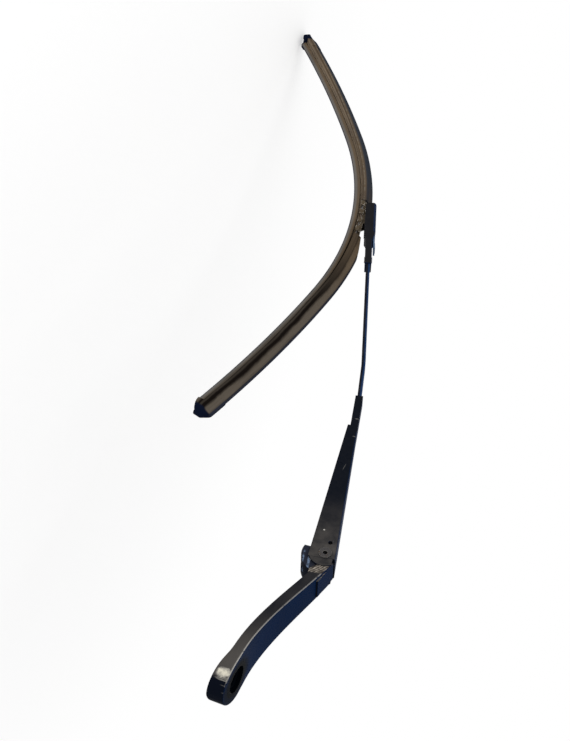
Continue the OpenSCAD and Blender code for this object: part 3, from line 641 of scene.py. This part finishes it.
def rod_paint():
    """Glossy black paint with small chips, a painted sky reflection and a painted pale upper edge.
    """
    f, c = Finish("rod_paint"), settings().colours
    cloud, fine = f.noise(70, 4), f.noise(600, 3)
    place = f.node("ShaderNodeAttribute", {"attribute_name": "rod_place"}, out="Vector")
    up = f.part(place, 2) + (cloud - 0.5) * 0.0008
    wind = f.part(f.normal, 1)
    side = wind.ramp(0.05, 0.40)
    # Painted light: the lower half is a darker painted shade, the upper half the paint's painted
    # sky reflection, lighter on the wind side
    shaded, lit = (0.0050, 0.0068, 0.0130), (0.006, 0.030, 0.100)
    colour = f.mix(up.ramp(-0.0004, 0.0009), shaded, f.mix(side, c.paint, lit))
    # A painted blue highlight runs along the upper edge
    edge = up.ramp(0.0010, 0.0015) * fine.ramp(0.25, 0.6) * side
    colour = f.mix(edge * 0.8, colour, c.blue_gleam)
    dust = wind.ramp(0.3, 0.9) * (0.08 + 0.4 * (cloud - 0.5)).least(1).most(0)
    colour = f.mix(dust, colour, c.road_dust)
    chips = f.specks(150, 0.10) * f.noise(60).ramp(0.60, 0.66)
    colour = f.mix(chips * 0.6, colour, c.bare_alloy)
    normal = f.bump(fine * 0.5 + cloud * 0.3 - chips, 0.22, 0.0002)
    return f.shade(colour, 0.30 + 0.14 * cloud + 0.3 * dust, normal)


def moulded_plastic(name, gloss, dustiness, upper=(0.005, 0.021, 0.070), lower=None):
    """Fine-grained plastic with dust on its wind side and pale, rubbed edges.

    upper, by default a painted sky reflection, colours the faces that look up; lower the others.
    """
    f, c = Finish(name), settings().colours
    cloud, grain = f.noise(75, 4, 0.6), f.noise(1500, 2, 0.7)
    wind, top = f.part(f.normal, 1).ramp(0.3, 0.9), f.part(f.normal, 2).ramp(0.12, 0.5)
    dust = (wind * dustiness * (0.8 + 1.4 * (cloud - 0.5))).least(1).most(0)
    colour = f.mix(top * (0.8 + 0.4 * (cloud - 0.5)), lower or c.plastic, upper)
    colour = f.mix(dust, colour, c.road_dust)
    rim = f.edge(0.0005, 0.04, 0.25) * f.noise(260, 3).ramp(0.40, 0.66)
    colour = f.mix(rim * 0.22, colour, c.pale_dust)
    normal = f.bump(grain * 0.5 + cloud * 0.2, 0.22, 0.00015, f.eased_normal(0.0005))
    return f.shade(colour, gloss + 0.12 * (cloud - 0.5) + 0.3 * dust, normal)


def bare_steel(name, base, rust, rough):
    """Plated steel, dulled by dust, with brown spots where the plating has gone."""
    f = Finish(name)
    cloud, fine = f.noise(130, 5, 0.65), f.noise(800, 3)
    spots = (cloud + (fine - 0.5) * 0.4).ramp(0.60 - rust * 0.25, 0.72 - rust * 0.25)
    rust_brown, rubbed = (0.085, 0.048, 0.026), (0.62, 0.59, 0.53)
    colour = f.mix(fine, base, tuple(v * 0.72 for v in base))
    colour = f.mix(spots * 0.75, colour, rust_brown)
    colour = f.mix(f.edge(0.0004, 0.05, 0.3) * 0.5, colour, rubbed)
    normal = f.bump(fine * 0.5 + spots * 0.5, 0.25, 0.00015, f.eased_normal(0.0004))
    roughness = rough + 0.3 * spots + 0.12 * (fine - 0.5)
    return f.shade(colour, roughness, normal, metallic=0.85 - 0.7 * spots)


def dusty_steel():
    """The bracket's steel under a brown film of dust, rubbed bright along its edges."""
    f = Finish("dusty_steel")
    cloud, fine = f.noise(160, 4, 0.6), f.noise(900, 3)
    thick, thin, rubbed = (0.070, 0.053, 0.035), (0.125, 0.098, 0.066), (0.66, 0.62, 0.54)
    rim = f.edge(0.0009, 0.03, 0.16) * f.noise(260, 3).ramp(0.42, 0.58)
    colour = f.mix(rim * 0.9, f.mix(cloud, thick, thin), rubbed)
    normal = f.bump(fine, 0.10, 0.0001, f.eased_normal(0.0004))
    return f.shade(colour, 0.62 - 0.3 * rim + 0.12 * (fine - 0.5), normal, metallic=rim * 0.5)


def blade_rubber(name, dark_end=None):
    """Rubber with dust that lies in streaks along the blade, read from the blade's own place.

    dark_end is the length from the blade's middle past which the surface is clean.
    """
    f, c = Finish(name), settings().colours
    place = f.node("ShaderNodeAttribute", {"attribute_name": "blade_place"}, out="Vector")
    s, up = f.part(place, 0), f.part(place, 2)
    flow = f.noise(900, 3, 0.6, stretch=(0.02, 1, 1), at=place)
    cloud = f.noise(34, 5, 0.62, stretch=(0.5, 1, 1), at=place)
    fine = f.noise(700, 3, 0.6, at=place)
    tip_side = s.ramp(-0.06, 0.06)
    wind = f.part(f.normal, 1).ramp(-0.15, 0.45).most(tip_side * 0.85)
    # On the heel side the lip and the crest hold dust, and the foot and the hollow get little and
    # stay dark, as painted shade
    loose = up + (cloud - 0.5) * 0.0045
    lip = loose.ramp(-0.0026, -0.0048) * 0.78
    foot = loose.band(-0.0016, 0.0002, 0.0006) * 0.28
    crest = loose.ramp(0.0024, 0.0046) * (1 - 0.25 * up.ramp(0.0058, 0.0076))
    heel_hold = (lip + foot + crest).most(s.ramp(-0.15, -0.05) * 0.42)
    # On the tip side the dust covers the lip and the foot, and fades out in the hollow
    level = up - (s - 0.117).most(0) * 0.012
    tip_hold = level.ramp(0.0028, 0.0006) * 0.90
    hold = heel_hold * (1 - tip_side) + tip_hold * tip_side
    streaks = (flow - 0.5) * (0.06 + 0.75 * hold) + (fine - 0.5) * 0.22 * hold
    dust = (hold * (1.0 + 1.3 * (cloud - 0.5)) + streaks).least(1).most(0)
    dust = dust * (0.25 + 0.75 * wind)
    # The dust is brown towards the tip and grey on the lip; under the tip half's foot it is painted
    # paler, as painted light over the shade that falls there
    lip_grey, lit_under_foot = (0.165, 0.158, 0.148), (0.260, 0.200, 0.140)
    tip_rubber = (0.029, 0.034, 0.045)
    brown = f.mix(s.ramp(-0.16, -0.03), c.heel_dust, c.tip_dust)
    brown = f.mix(up.ramp(-0.0050, -0.0068) * 0.8, brown, lip_grey)
    brown = f.mix(up.band(-0.0036, -0.0018, 0.0005) * tip_side, brown, lit_under_foot)
    colour = f.mix(dust, f.mix(tip_side, c.rubber, tip_rubber), brown)
    # A dark furrow and a pale dotted ridge of dried dust run along the foot of the tip half
    furrow = (level + 0.0015).size().ramp(0.0008, 0.0003) * fine.ramp(0.20, 0.50)
    colour = f.mix(furrow * tip_side * 0.55, colour, (0.030, 0.020, 0.013))
    ridge = (level + 0.0001).size().ramp(0.0007, 0.0003)
    ridge = ridge * f.noise(420, 3, at=place).ramp(0.38, 0.60)
    colour = f.mix(ridge * tip_side * 0.7, colour, (0.210, 0.185, 0.150))
    # The edge of the lip and the crest's side away from the wind get a painted cold blue sheen, the
    # sky's reflection
    sky_sheen = up.ramp(-0.0076, -0.0083).most(up.ramp(0.0076, 0.0082))
    colour = f.mix(sky_sheen * 0.85, colour, (0.014, 0.020, 0.040))
    if dark_end:
        rim = up.ramp(0.0030, 0.0060).most(up.ramp(-0.0022, -0.0030))
        ahead = s.size() + tip_side * (0.0050 + rim * 0.0040)
        clean = ahead.ramp(dark_end - 0.0008, dark_end + 0.0008)
        colour = f.mix(clean, colour, (0.0045, 0.0075, 0.0200))
    normal = f.bump(flow * 0.7 + fine * 0.3 + cloud * 0.2, 0.3, 0.0002)
    return f.shade(colour, 0.46 + 0.3 * dust + 0.12 * (flow - 0.5), normal)


# Operators


def wind_outline(grow, angles, room, inside):
    """Outline of the spoiler, or of its caps when grown, with the hollow wind face, in mm.

    The hollow is an arc of 6.8 mm round a point 9.2 mm out and 8.6 mm up. It is read at
    the given angles and stays the room below the top. inside ends the outline.
    """
    top, half = settings().blade.crest / MM + grow, 6.15 + grow
    bend = np.radians(angles)
    hollow = np.stack([9.2 + grow + 6.8 * np.cos(bend), 8.6 + 6.8 * np.sin(bend)], -1)
    hollow = hollow[(hollow[:, 0] < half - 0.05) & (hollow[:, 1] < top - room)]
    right = [(3.2, -2), (half, -2), (half, 0.8)]
    left = [(1.2 + grow, top - 0.5), (0.4 + grow, top), (-1.4, top), (-half, 1.6), (-half, -2),
            (-3.2, -2)]
    return np.concatenate([right, hollow, left, inside])


def spoiler_section():
    """Section of the spoiler with the grooves for the rails and the rubber."""
    rail = 4.95
    grooves = [(-3.2, -1), (-rail, -1), (-rail, 0), (-2.7, 0), (-2.7, 1.7),
               (2.7, 1.7), (2.7, 0), (rail, 0), (rail, -1), (3.2, -1)]
    return eased(wind_outline(0, np.linspace(254, 187, 12), 0.6, grooves) * MM, 0.25 * MM)


def rounding(left, run, depth=1.0):
    """Share of the full size near an end: sqrt(1 - depth (1 - left/run)^2), and 1 past the run."""
    return np.sqrt(1 - np.clip(1 - left / run, 0, 1) ** 2 * depth)


class WIPER_OT_spoilers(Operator):
    """Build both halves of the spoiler"""

    bl_idname = "wiper.spoilers"
    bl_label = "Spoilers"

    def execute(self, context):
        b = settings().blade
        section = spoiler_section()
        rubber = blade_rubber("spoiler_rubber")
        reach = b.half_length - b.cap_length
        for name, start, end, side in (("spoiler_tip", b.tip_from, reach, 1),
                                       ("spoiler_heel", -b.heel_from, -reach, -1)):
            # The rows lie closer over the first 30 mm
            dense = start + side * 30 * MM
            lengths = np.concatenate([np.linspace(start, dense, 40),
                                      np.linspace(dense, end, 110)[1:]])
            sections = np.repeat(section[None], len(lengths), 0).copy()
            # The inner end falls away in a straight slope: by the drop at its start, and up to
            # the crest at the end of its run
            drop, run = (2.5 * MM, 9 * MM) if side > 0 else (3.8 * MM, 31 * MM)
            gone = np.clip((lengths - start) * side + 1 * MM, 0, run) / run
            roof = b.crest - drop + (drop + 0.6 * MM) * gone
            sections[..., 1] = np.minimum(sections[..., 1], roof[:, None])
            piece = blade_sweep(f"{name}_skin", sections[::side], lengths[::side])
            place_piece(piece, rubber, "blade", "spoiler_rubber", name)
        return {"FINISHED"}


class WIPER_OT_rubber(Operator):
    """Build the wiping rubber with its head, neck, hinge and lip"""

    bl_idname = "wiper.rubber"
    bl_label = "Wiping rubber"

    def execute(self, context):
        b = settings().blade
        # Right half of the section in mm, from the head in the spoiler down to the lip
        head, lip = 1.6, -b.lip / MM
        half = np.array([(2.6, head), (2.6, 0), (0.9, 0), (0.9, -1), (3, -1), (3, -2.2),
                         (0.5, -2.5), (0.5, -3.2), (2.4, -3.6), (2.2, -4.4),
                         (0.55, lip + 1.2), (0.4, lip)])
        corners = np.concatenate([half, half[::-1] * (-1, 1)])[::-1] * MM
        section = eased(corners, 0.18 * MM, 3)
        # The rubber ends 9 mm inside the caps
        reach = b.half_length - 9 * MM
        lengths = np.linspace(-reach, reach, 150)
        sections = np.repeat(section[None], len(lengths), 0)
        piece = blade_sweep("wiping_rubber_skin", sections, lengths)
        place_piece(piece, blade_rubber("wiping_rubber"), "blade", "wiping_rubber", "wiping_rubber")
        return {"FINISHED"}


class WIPER_OT_end_caps(Operator):
    """Build the two end caps with their rounded noses"""

    bl_idname = "wiper.end_caps"
    bl_label = "End caps"

    def execute(self, context):
        b = settings().blade
        outline = wind_outline(0.6, np.linspace(250, 190, 10), 0.7, [(-3.2, -1), (3.2, -1)])
        section, top = eased(outline * MM, 0.5 * MM), b.crest + 0.6 * MM
        # The caps are clean and dark over their last few millimetres
        plastic = blade_rubber("cap_plastic", b.half_length - 3.6 * MM)
        for name, side, beyond, chin_depth, chin_round in (
                ("tip_cap", 1, 4.5 * MM, 3.1 * MM, 3.6 * MM),
                ("heel_cap", -1, 0, 4.2 * MM, 8.6 * MM)):
            # The rows lie closer towards the end. left is each row's length to the blade's
            # end, and is negative on the nub
            gone = 1 - (1 - np.linspace(0, 1, 60)) ** 2
            start = b.half_length - b.cap_length + 0.1 * MM
            lengths = start + (b.half_length + beyond - start) * gone
            left = b.half_length - lengths
            sections = np.repeat(section[None], len(lengths), 0).copy()
            across, up = sections[..., 0], sections[..., 1]
            # The crest slopes down to the tip, and is round at the heel
            if side > 0:
                roof = 2.5 * MM + (b.crest - 1 * MM) * (left + 1 * MM) / (17 * MM)
                roof = np.maximum(roof, 5 * MM)
            else:
                run, radius = 8 * MM, 8.2 * MM
                arc = np.sqrt(np.clip(radius ** 2 - np.clip(run - left, 0, None) ** 2, 0, None))
                roof = np.where(left > run, 20 * MM, 1 * MM + arc)
            up[:] = np.minimum(up, roof[:, None])
            # A nub on the tip reaches past the foot, with its underside 3.5 mm higher
            foot, peak = -2 * MM, np.minimum(roof, top)
            raised = 3.5 * MM * np.clip((0.3 * MM - left) / (0.8 * MM), 0, 1) * (side > 0)
            share = (peak - foot - raised) / (peak - foot)
            up[:] = (foot + raised)[:, None] + (up - foot) * share[:, None]
            # The nose narrows over its last 6.5 mm
            across *= rounding(left + beyond, 6.5 * MM, 0.90)[:, None]
            # Past the end of the rubber a chin reaches down, rounded towards the nose
            chin = np.where(left < 8.6 * MM, rounding(left, chin_round) * chin_depth, 0)
            up -= np.where(up < -0.8 * MM, chin[:, None], 0)
            piece = blade_sweep(f"{name}_skin", sections[::side], lengths[::side] * side)
            place_piece(piece, plastic, "blade", "cap_plastic", name)
        return {"FINISHED"}


class WIPER_OT_rod(Operator):
    """Build the flat rod with its eased edges and soft bends"""

    bl_idname = "wiper.rod"
    bl_label = "Rod"

    def execute(self, context):
        a = settings().arm
        tail, start, _ = rod_corners()
        d = np.array([a.crimp_slope, a.rod_first_slope, a.rod_second_slope])
        joints = np.linalg.norm(start - tail) + np.array([0, a.rod_first])
        s = np.linspace(0, joints[1] + a.rod_second + a.rod_in_end, 500)
        # The slope changes evenly over 8 mm at each bend, and its integral is the middle line
        blend = np.clip((s[:, None] - joints) / (8 * MM) + 0.5, 0, 1)
        slope = d[0] + (blend * np.diff(d)).sum(1)
        middle = (slope[1:] + slope[:-1]) / 2
        step = s[1] - s[0]
        x = tail[0] + np.concatenate([[0], np.cumsum(np.cos(middle)) * step])
        z = tail[2] - np.concatenate([[0], np.cumsum(np.sin(middle)) * step])
        w, h = a.rod_width / 2, a.rod_thickness / 2
        across, up = eased([(w, -h), (w, h), (-w, h), (-w, -h)], 0.7 * MM, 6).T
        x, z, slope = x[:, None], z[:, None], slope[:, None]
        x, z = x + up * np.sin(slope), z + up * np.cos(slope)
        grid = np.stack(np.broadcast_arrays(x, across, z), -1)
        piece = make_mesh("arm_rod_skin", from_channel(grid))
        place = np.stack(np.broadcast_arrays(s[:, None], across, up), -1)
        store_place(piece, "rod_place", place.reshape(-1, 3))
        place_piece(piece, rod_paint(), "arm", "rod_paint", "arm_rod")
        return {"FINISHED"}


class WIPER_OT_head(Operator):
    """Finish the mounting head and its bushes"""

    bl_idname = "wiper.head"
    bl_label = "Mounting head"

    def execute(self, context):
        dress("mounting_head", cast_paint())
        bush = bare_steel("bush_bronze", (0.34, 0.27, 0.17), 0.2, 0.45)
        for name in ("pivot_bush_left", "pivot_bush_right"):
            dress(name, bush)
        return {"FINISHED"}


class WIPER_OT_channel(Operator):
    """Finish the pressed channel, its rivet and the steel pins"""

    bl_idname = "wiper.channel"
    bl_label = "Channel"

    def execute(self, context):
        paint = channel_paint()
        for name in ("arm_channel", "anchor_pin"):
            dress(name, paint)
        dress("pivot_rivet", bare_steel("rivet_steel", (0.085, 0.080, 0.078), 0.2, 0.55))
        pins = bare_steel("pin_steel", (0.36, 0.35, 0.34), 0.3, 0.4)
        for name in ("hanger_pin", "blade_pin", "tab_pin", "end_rivet"):
            dress(name, pins)
        return {"FINISHED"}


class WIPER_OT_spring(Operator):
    """Finish the hooked link and the tension spring"""

    bl_idname = "wiper.spring"
    bl_label = "Spring"

    def execute(self, context):
        dress("spring_link", bare_steel("link_zinc", (0.34, 0.33, 0.31), 0.3, 0.42))
        dress("tension_spring", bare_steel("spring_wire", (0.30, 0.30, 0.31), 0.35, 0.42))
        return {"FINISHED"}


class WIPER_OT_arm_end(Operator):
    """Finish the arm end, the blade adapter and the release tab"""

    bl_idname = "wiper.arm_end"
    bl_label = "Arm end"

    def execute(self, context):
        dress("arm_end", moulded_plastic("end_plastic", 0.40, 0.12))
        dress("blade_adapter", moulded_plastic("adapter_plastic", 0.5, 0.5))
        # The tab's colours are a painted light-blue reflection of the sky on its glossy plastic
        upper, lower = (0.050, 0.085, 0.145), (0.11, 0.17, 0.28)
        dress("release_tab", moulded_plastic("tab_plastic", 0.18, 0.02, upper, lower))
        return {"FINISHED"}


class WIPER_OT_bracket(Operator):
    """Finish the connector bracket and the rails"""

    bl_idname = "wiper.bracket"
    bl_label = "Bracket and rails"

    def execute(self, context):
        dress("connector_bracket", dusty_steel())
        rail = bare_steel("rail_steel", (0.16, 0.155, 0.15), 0.5, 0.45)
        for name in ("rail_left", "rail_right"):
            dress(name, rail)
        return {"FINISHED"}


class WIPER_OT_stage(Operator):
    """Build the floor, the lamps and the camera"""

    bl_idname = "wiper.stage"
    bl_label = "Stage"

    def execute(self, context):
        scene = context.scene
        studio = settings().studio
        low, high = (Vector(v) for v in CAD_BOX)
        centre = (low + high) / 2
        self.floor(Vector((centre.x, centre.y, low.z - 2 * MM)))
        self.sky(scene, studio.sky)
        # Each lamp's place from the object's middle, share of the power and size
        for name, place, share, size in (("key", (-0.35, 1.5, 1.15), 1, 1.3),
                                         ("fill", (0.9, -1.3, 1.1), 0.35, 1.4)):
            self.lamp(name, centre + Vector(place), centre, studio.key_power * share, size)
        self.camera(scene, studio.focal_length)
        scene.view_settings.view_transform = "Standard"
        return {"FINISHED"}

    def floor(self, middle, half=6.0):
        """A square floor, white to the camera, which keeps the object's soft shadow."""
        side = np.array([half, -half])
        x, y = np.meshgrid(side, -side, indexing="ij")
        grid = np.stack([x, y, np.zeros_like(x)], -1) + np.array(middle)
        floor = make_mesh("floor", grid, ring=False)
        f = Finish("floor_white")
        # Away from the object the camera sees the floor as plain white, with no edge to it
        reach = f.node("ShaderNodeVectorMath", {"operation": "DISTANCE"},
                       {0: f.point, 1: tuple(middle)}, out="Value")
        seen = f.node("ShaderNodeLightPath", out="Is Camera Ray")
        plain = f.node("ShaderNodeEmission", sockets={"Color": (1, 1, 1), "Strength": 1.0})
        body = f.shade((0.9, 0.9, 0.9), 0.9, over=(reach.ramp(0.25, 0.65) * seen, plain),
                       Emission_Color=(1, 1, 1), Emission_Strength=0.28)
        floor.data.materials.append(body)

    def sky(self, scene, strength):
        """Even white light, at full strength to the camera, in reflections and through glass."""
        scene.world = bpy.data.worlds.new("studio")
        w = Nodes(scene.world)
        camera, glossy, through = (w.node("ShaderNodeLightPath", out=f"Is {ray} Ray")
                                   for ray in ("Camera", "Glossy", "Transmission"))
        even, shown = (
            w.node("ShaderNodeBackground", sockets={"Color": (1, 1, 1), "Strength": value})
            for value in (strength, 1))
        light = w.node("ShaderNodeMixShader",
                       sockets={0: camera.most(glossy).most(through), 1: even, 2: shown})
        w.node("ShaderNodeOutputWorld", sockets={"Surface": light}, out=None)

    def lamp(self, name, place, target, power, size):
        """A square area lamp that faces its target."""
        data = bpy.data.lights.new(name, "AREA")
        data.energy, data.size = power, size
        lamp = bpy.data.objects.new(name, data)
        lamp.location = place
        lamp.rotation_euler = (target - place).to_track_quat("-Z", "Y").to_euler()
        bpy.context.scene.collection.objects.link(lamp)

    def camera(self, scene, focal_length):
        """The photograph's camera, fitted to the measured corners and edges of the object.

        right, up and back are its axes in the row frame.
        """
        right = Vector((0.38703841, 0.02220386, 0.92179621))
        up = Vector((0.6045729, 0.74871441, -0.27187927))
        back = -Vector((0.69619888, -0.66252073, -0.27635738))
        data = bpy.data.cameras.new("photo_camera")
        data.lens, data.sensor_width = focal_length, 36
        data.shift_x, data.shift_y = -0.0153120, -0.0114677
        data.clip_start, data.clip_end = 0.01, 50
        camera = bpy.data.objects.new("photo_camera", data)
        camera.matrix_world = Matrix.Translation((-0.4064254, 0.6521787, 0.1987288)) @ Matrix(
            (right, up, back)).transposed().to_4x4()
        scene.collection.objects.link(camera)
        scene.camera = camera


class WIPER_PT_looks(Panel):
    """Sidebar panel with the settings and the steps"""

    bl_label = "Wiper arm"
    bl_idname = "WIPER_PT_looks"
    bl_space_type = "VIEW_3D"
    bl_region_type = "UI"
    bl_category = "Wiper arm"

    def draw(self, context):
        for group in ("arm", "blade", "colours", "studio"):
            box = self.layout.box()
            values = getattr(context.scene.wiper_looks, group)
            for key in values.__annotations__:
                box.prop(values, key)
        for step in STEPS:
            self.layout.operator(step.bl_idname)


STEPS = (
    WIPER_OT_stage, WIPER_OT_head, WIPER_OT_channel, WIPER_OT_spring, WIPER_OT_rod,
    WIPER_OT_arm_end, WIPER_OT_bracket, WIPER_OT_rubber, WIPER_OT_spoilers, WIPER_OT_end_caps)
CLASSES = (
    ArmSizes, BladeSizes, FinishColours, StudioSettings, WiperSettings, *STEPS, WIPER_PT_looks)


def register():
    for cls in CLASSES:
        bpy.utils.register_class(cls)
    bpy.types.Scene.wiper_looks = PointerProperty(type=WiperSettings)


def unregister():
    del bpy.types.Scene.wiper_looks
    for cls in reversed(CLASSES):
        bpy.utils.unregister_class(cls)


def main():
    register()
    bpy.ops.wiper.stage()
    bpy.ops.wiper.head()
    bpy.ops.wiper.channel()
    bpy.ops.wiper.spring()
    bpy.ops.wiper.rod()
    bpy.ops.wiper.arm_end()
    bpy.ops.wiper.bracket()
    bpy.ops.wiper.rubber()
    bpy.ops.wiper.spoilers()
    bpy.ops.wiper.end_caps()


if __name__ == "__main__":
    main()
